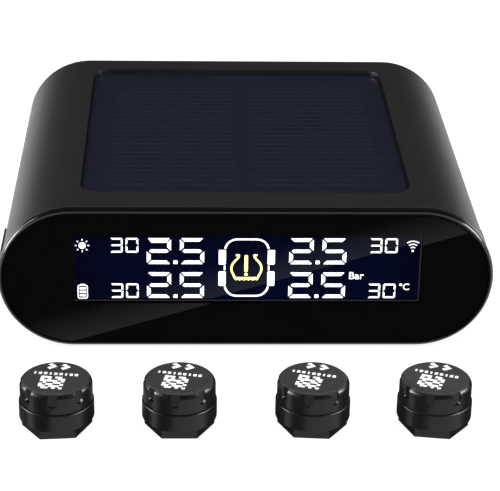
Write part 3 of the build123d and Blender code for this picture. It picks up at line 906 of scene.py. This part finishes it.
class MONITOR_OT_symbols(MonitorOperator):
    """Lit sun, battery, car, tyre warning and wireless symbols."""

    bl_idname = "monitor.symbols"
    bl_label = "Symbols"

    def sun(self):
        x, z = SUN
        made = [stroke(arc((x, z), 0.44, 0, 360, 20)[:-1], 0.9, cyclic=True)]
        made.append(plate(((x, z), (0.7, 0.7)), 0.2))
        for k in range(8):
            angle = k * pi / 4
            ray = [(x + r * cos(angle), z + r * sin(angle)) for r in (1.3, 1.75)]
            made.append(stroke(ray, 0.27))
        return made

    def charge(self):
        x, z = CHARGE
        made = [stroke(rounded_box((x, z - 0.12), (2.25, 3.5), 0.42), 0.28, cyclic=True)]
        made.append(plate(((x, z + 1.86), (1.2, 0.3)), 0.1))
        for k in range(3):
            made.append(plate(((x, z - 1.06 + 0.94 * k), (1.5, 0.56)), 0.08))
        return made

    def car(self):
        x, z = CAR
        wide, high, corner = 10.5, 15.2, 2.9
        made = []
        for side in (1, -1):
            top = [(x, z + high / 2)] + [
                (x + side * (wide / 2 - corner + px), z + high / 2 - corner + pz)
                for px, pz in arc((0, 0), corner, 90, 8)
            ]
            bottom = [(px, 2 * z - pz) for px, pz in top]
            made += [stroke(top, 0.5), stroke(bottom, 0.5)]
            dash_x = x + side * (wide / 2 + 0.1)
            made.append(stroke([(dash_x, 1.0), (dash_x, -0.25)], 0.4))
            for tyre_z in (3.24, -2.5):
                made.append(plate(((x + side * 5.93, tyre_z), (1.76, 3.9)), 0.3))
        return made

    def warning(self):
        x, z = WARNING
        line = 0.54
        half_wall = (
            (1.8, 3.46),
            (2.0, 2.78),
            (2.42, 2.28),
            (2.85, 1.8),
            (3.22, 1.3),
            (3.5, 0.75),
            (3.64, 0.2),
            (3.66, -0.35),
            (3.55, -0.9),
            (3.35, -1.4),
            (2.98, -2.16),
            (2.62, -3.0),
        )
        made = []
        for side in (1, -1):
            made.append(stroke([(x + side * px, z + pz) for px, pz in half_wall], line))
            made.append(stroke([(x + side * 1.72, z + 3.42), (x + side * 2.62, z + 3.42)], line))
        tread = [
            (x - 2.65 + 5.3 * k / 10, z - 2.85 - (0.0 if k % 2 else 0.3)) for k in range(11)
        ]
        made.append(stroke(tread, line))
        made.append(stroke([(x - 2.6, z - 2.7), (x + 2.6, z - 2.7)], line))
        made.append(plate(((x - 0.08, z + 1.22), (0.86, 4.5)), 0.3))
        made.append(plate(((x - 0.08, z - 1.72), (0.88, 0.88)), 0.4))
        return made

    def radio(self):
        x, z = RADIO
        made = [plate(((x, z - 1.45), (0.56, 0.56)), 0.25)]
        for radius in (0.95, 1.75, 2.55):
            made.append(stroke(arc((x, z - 1.45), radius, 55, 125, 12), 0.3))
        return made

    def execute(self, context):
        white = lit_print("lit_symbol_white", self.colours.segments, self.sizes.brightness)
        amber = lit_print("lit_amber", self.colours.warning, self.sizes.brightness)
        onto_screen(self.sun() + self.charge() + self.radio(), "status_symbols", white)
        onto_screen(self.car(), "car_symbol", white)
        onto_screen(self.warning(), "tyre_warning_symbol", amber)
        return {"FINISHED"}


class MONITOR_OT_solar(MonitorOperator):
    """Finish the solar panel and lay the fine fingers on its cells."""

    bl_idname = "monitor.solar"
    bl_label = "Solar panel"

    def execute(self, context):
        paint(panel_glass("panel_glass"), "solar_glass")
        paint(silicon("silicon_sheet", self.colours.cells), "solar_cells")
        ink = silicon("finger_print", shade_of(self.colours.cells, 2.1))
        middle = (CELLS_LOW + CELLS_HIGH) / 2
        pitch, width = self.sizes.finger_pitch, self.sizes.finger_width
        made = []
        for side in (-1, 1):
            for k in range(FINGER_COUNT):
                start_clean()
                x = middle.x + side * FINGER_COLUMN
                y = middle.y - FINGER_SHIFT + (k - (FINGER_COUNT - 1) / 2) * pitch
                bpy.ops.mesh.primitive_cube_add(size=1.0)
                piece = bpy.context.active_object
                piece.scale = (FINGER_LENGTH, width, FINGER_T)
                piece.location = (x, y, CELLS_HIGH.z + FINGER_LIFT)
                made.append(piece)
        join(made)
        finished("solar_fingers", ink, "display")
        return {"FINISHED"}


class MONITOR_OT_inside(MonitorOperator):
    """Finish the boards, battery, leads and the rest of the display's inside."""

    bl_idname = "monitor.inside"
    bl_label = "Inside"

    def execute(self, context):
        paint(moulded_plastic("inner_plastic", (0.02, 0.02, 0.022)), "inner_tray", "lcd_holder")
        paint(circuit_board("solder_mask"), "main_board")
        paint(
            chip_resin("chip_resin"),
            "board_components",
            "buzzer",
            "left_switch",
            "right_switch",
            "left_switch_plunger",
            "right_switch_plunger",
        )
        paint(foil_pouch("pouch_foil"), "battery")
        paint(pale_tape("foam_tape", (0.75, 0.75, 0.7)), "battery_pad")
        paint(pale_tape("light_guide_sheet", (0.85, 0.87, 0.9)), "lcd_backlight")
        paint(insulation("red_insulation", (0.45, 0.02, 0.015)), "battery_leads")
        paint(insulation("black_insulation", (0.012, 0.012, 0.012)), "solar_leads")
        paint(amber_film("ribbon_film"), "lcd_ribbon")
        return {"FINISHED"}


class MONITOR_OT_sensors(MonitorOperator):
    """Finish the four valve-cap sensors."""

    bl_idname = "monitor.sensors"
    bl_label = "Sensors"

    def execute(self, context):
        cap_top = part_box("sensor_1_cap")[1].z
        finishes = {
            "base": cap_plastic("shell_plastic", self.colours.sensor, cap_top),
            "cap": cap_plastic("cap_plastic", self.colours.sensor, cap_top - TOP_LIGHT_DEPTH),
            "seal": soft_rubber("seal_rubber"),
            "valve_insert": turned_brass("turned_brass"),
            "valve_gasket": soft_rubber("gasket_rubber", pitch=0.6 * MM),
            "board": circuit_board("sensor_board_mask"),
            "cell": brushed_metal("cell_can", (0.66, 0.66, 0.65), stretch=(20.0, 1.0, 1.0)),
        }
        for number in SENSORS:
            for piece in SENSOR_NODES:
                name = f"sensor_{number}_{piece}"
                paint(finishes[piece], name)
                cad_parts[name].visible_glossy = False
        return {"FINISHED"}


class MONITOR_OT_marks(MonitorOperator):
    """Print generic marks on each sensor cap: two arrows, a dashed line and a dotted square."""

    bl_idname = "monitor.marks"
    bl_label = "Cap marks"

    def flat_marks(self):
        """The marks in the plane of the cap, as if it faced -Y."""
        made = []
        for x in (-1.9, 1.2):
            made.append(stroke([(x - 0.6, 3.95), (x + 0.75, 4.95), (x - 0.6, 5.95)], 1.15))
        for k in range(9):
            made.append(plate(((-5.0 + 1.18 * k, 1.5), (0.75 if k % 3 else 0.42, 1.0)), 0.12))
        for row, line in enumerate(MARK_GRID):
            for column, filled in enumerate(line):
                if filled == "1":
                    spot = (-0.5 + (column - 3) * MARK_PITCH, -2.6 - (row - 3) * MARK_PITCH)
                    made.append(plate((spot, (MARK_DOT, MARK_DOT)), 0.05))
        return made

    def execute(self, context):
        ink = mark_ink("white_ink")
        flat = join(self.flat_marks())
        flat.data.transform(Matrix.Rotation(-pi / 2, 4, "X"))
        for number in SENSORS:
            low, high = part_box(f"sensor_{number}_cap")
            middle = (low + high) / 2
            start_clean()
            piece = flat.copy()
            piece.data = flat.data.copy()
            bpy.context.scene.collection.objects.link(piece)
            piece.location = (middle.x, middle.y, high.z + PRINT_T / 2 * MM)
            facing = atan2(CAMERA_PLACE.x - middle.x, middle.y - CAMERA_PLACE.y)
            piece.rotation_euler = (0.0, 0.0, facing + self.sizes.mark_turn)
            piece.select_set(True)
            bpy.context.view_layer.objects.active = piece
            made = finished(f"sensor_{number}_marks", ink, f"sensor_{number}_cap")
            made.visible_glossy = False
        bpy.data.objects.remove(flat)
        return {"FINISHED"}


# ================================================================== stage
CAMERA_PLACE = Vector((-15.92, -464.22, 219.34)) * MM
CAMERA_HEADING = radians(2.314)
CAMERA_DIP = radians(24.994)
CAMERA_ROLL = radians(1.085)
CAMERA_LENS = 135.63
CAMERA_FILM = 36.0
FLOOR_REACH = 6.0
ROOM_GREY = 0.035

# Slanting sheen on the window: the ends of its hard edge as (x, z), how far it fades upwards, how
# bright it is, and the upright card that the window reflects it from.
SHEEN_EDGE = ((-44.1 * MM, 1.4 * MM), (54.3 * MM, 31.6 * MM))
SHEEN_WIDTH = 8.5 * MM
SHEEN_LIGHT = 0.34
SHEEN_CARD_Y = -0.075
SHEEN_CARD_SIZE = (0.17, 0.075)

# Level cards under the table: name, lowest and highest corner, brightness.
BOUNCE_Z = -0.3
BOUNCES = (
    ("right_bounce", (-0.2, -1.4), (1.6, -0.12), 0.7),
    ("left_bounce", (-1.8, -0.22), (-0.4, -0.06), 0.9),
)

# Lamps: name, place, size, watts, and whether only gloss sees them or never does.
SOFTBOXES = (
    ("top_softbox", (0.0, -0.25, 0.9), (1.0, 0.6), 9.0, False),
    ("left_softbox", (-0.85, -0.35, 0.5), (0.5, 0.5), 7.0, False),
    ("right_softbox", (0.9, -0.3, 0.45), (0.4, 0.5), 8.0, False),
    ("left_strip", (-0.97, -0.15, 0.22), (0.3, 0.4), 11.0, True),
    ("rim_strip", (-0.93, 0.2, 0.42), (0.12, 0.8), 6.0, True),
    ("right_strip", (0.92, -0.15, 0.38), (0.5, 0.4), 11.0, True),
)


class MONITOR_OT_stage(MonitorOperator):
    """Pale floor, soft lights and the camera."""

    bl_idname = "monitor.stage"
    bl_label = "Stage"

    def floor(self):
        """Two level sheets. The front one keeps out of gloss, so the window stays dark, and casts
        no shadow, so the cards under it reach the sensors."""
        material = studio_floor("table")
        edge = WINDOW_LOW.y - 0.5 * MM
        for name, low, high, glossy in (
            ("floor_front", -FLOOR_REACH, edge, False),
            ("floor_rear", edge, FLOOR_REACH, True),
        ):
            start_clean()
            bpy.ops.mesh.primitive_plane_add(size=1.0, location=(0.0, (low + high) / 2, 0.0))
            sheet = bpy.context.active_object
            sheet.scale = (2 * FLOOR_REACH, high - low, 1.0)
            bpy.ops.object.transform_apply(location=True, rotation=True, scale=True)
            sheet.name = name
            sheet.data.materials.append(material)
            sheet.visible_glossy = glossy
            sheet.visible_shadow = glossy

    def softbox(self, name, place, size, power, gloss):
        """Rectangular area light aimed at the origin, seen either only by gloss or never by it."""
        turn = Vector(place).to_track_quat("Z", "Y").to_euler()
        bpy.ops.object.light_add(type="AREA", location=place, rotation=turn)
        lamp = bpy.context.active_object
        lamp.name = name
        lamp.data.shape = "RECTANGLE"
        lamp.data.size, lamp.data.size_y = size
        lamp.data.energy = power
        lamp.visible_glossy = gloss
        lamp.visible_diffuse = not gloss

    def card(self, name, turn, place, size, finish):
        """Flat emitter that only polished surfaces see."""
        start_clean()
        bpy.ops.mesh.primitive_plane_add(size=1.0, rotation=turn)
        sheet = bpy.context.active_object
        sheet.scale = (*size, 1.0)
        sheet.location = place
        bpy.ops.object.transform_apply(location=True, rotation=True, scale=True)
        sheet.name = name
        sheet.data.materials.append(finish.material)
        sheet.visible_camera = False
        sheet.visible_diffuse = False
        sheet.visible_shadow = False

    def bounce(self, name, low, high, strength):
        """Level card below the table that the sensors' sides reflect."""
        finish = Finish(name, Base_Color=(0.0, 0.0, 0.0), Emission_Strength=1.0)
        patch = finish.noise(0.5, detail=1.0)
        finish.set(
            Emission_Color=finish.blend(patch, (0.9 * strength,) * 3, (1.1 * strength,) * 3)
        )
        middle = ((low[0] + high[0]) / 2, (low[1] + high[1]) / 2, BOUNCE_Z)
        self.card(name, (0.0, 0.0, 0.0), middle, (high[0] - low[0], high[1] - low[1]), finish)

    def sheen(self):
        """Dim graded card, placed where the window reflects it as a slanting sheen."""
        window_y = WINDOW_LOW.y
        mirrored = Vector((CAMERA_PLACE.x, 2 * window_y - CAMERA_PLACE.y, CAMERA_PLACE.z))
        reach = (SHEEN_CARD_Y - mirrored.y) / (window_y - mirrored.y)
        ends = [mirrored + (Vector((x, window_y, z)) - mirrored) * reach for x, z in SHEEN_EDGE]
        along = (ends[1] - ends[0]).normalized()
        up = Vector((-along.z, 0.0, along.x))
        finish = Finish("sheen_card", Base_Color=(0.0, 0.0, 0.0), Specular_IOR_Level=0.0)
        offset = finish.node(
            "ShaderNodeVectorMath",
            {"operation": "SUBTRACT"},
            {0: finish.place(), 1: ends[0]},
        )
        above = finish.node(
            "ShaderNodeVectorMath",
            {"operation": "DOT_PRODUCT"},
            {0: offset, 1: up},
            output="Value",
        )
        fall = (1.0 - above / (SHEEN_WIDTH * reach)).clamped()
        dark, light = (ROOM_GREY,) * 3, (ROOM_GREY + SHEEN_LIGHT,) * 3
        finish.set(
            Emission_Color=finish.blend((above > 0.0) * fall, dark, light),
            Emission_Strength=1.0,
        )
        middle = (ends[0] + ends[1]) / 2
        self.card("sheen_card", (-pi / 2, 0.0, 0.0), middle, SHEEN_CARD_SIZE, finish)

    def camera(self):
        turn = (
            Matrix.Rotation(-CAMERA_HEADING, 3, "Z")
            @ Matrix.Rotation(pi / 2 - CAMERA_DIP, 3, "X")
            @ Matrix.Rotation(CAMERA_ROLL, 3, "Z")
        )
        bpy.ops.object.camera_add(location=CAMERA_PLACE, rotation=turn.to_euler())
        eye = bpy.context.active_object
        eye.name = "camera"
        eye.data.sensor_width = CAMERA_FILM
        eye.data.lens = CAMERA_LENS
        bpy.context.scene.camera = eye

    def execute(self, context):
        self.floor()
        self.sheen()
        for bounce in BOUNCES:
            self.bounce(*bounce)
        for softbox in SOFTBOXES:
            self.softbox(*softbox)
        world = bpy.data.worlds.new("studio")
        world.use_nodes = True
        grey = (ROOM_GREY, ROOM_GREY, ROOM_GREY, 1.0)
        world.node_tree.nodes["Background"].inputs["Color"].default_value = grey
        bpy.context.scene.world = world
        bpy.context.scene.view_settings.view_transform = "Standard"
        self.camera()
        return {"FINISHED"}


STEPS = (
    MONITOR_OT_stage,
    MONITOR_OT_housing,
    MONITOR_OT_window,
    MONITOR_OT_readings,
    MONITOR_OT_symbols,
    MONITOR_OT_solar,
    MONITOR_OT_inside,
    MONITOR_OT_sensors,
    MONITOR_OT_marks,
)


class MONITOR_PT_panel(bpy.types.Panel):
    """Buttons for every step, with the colours and sizes below them."""

    bl_idname = "MONITOR_PT_panel"
    bl_label = "Tire pressure monitor"
    bl_space_type = "VIEW_3D"
    bl_region_type = "UI"
    bl_category = "Monitor"

    def draw(self, context):
        for step in STEPS:
            self.layout.operator(step.bl_idname)
        for group in (context.scene.monitor_colours, context.scene.monitor_sizes):
            for name in group.__annotations__:
                self.layout.prop(group, name)


CLASSES = (MonitorColours, MonitorSizes, *STEPS, MONITOR_PT_panel)


def register():
    for kind in CLASSES:
        bpy.utils.register_class(kind)
    bpy.types.Scene.monitor_colours = PointerProperty(type=MonitorColours)
    bpy.types.Scene.monitor_sizes = PointerProperty(type=MonitorSizes)


def unregister():
    del bpy.types.Scene.monitor_colours
    del bpy.types.Scene.monitor_sizes
    for kind in reversed(CLASSES):
        bpy.utils.unregister_class(kind)


def main():
    register()
    for step in STEPS:
        group, call = step.bl_idname.split(".")
        getattr(getattr(bpy.ops, group), call)()


if __name__ == "__main__":
    main()
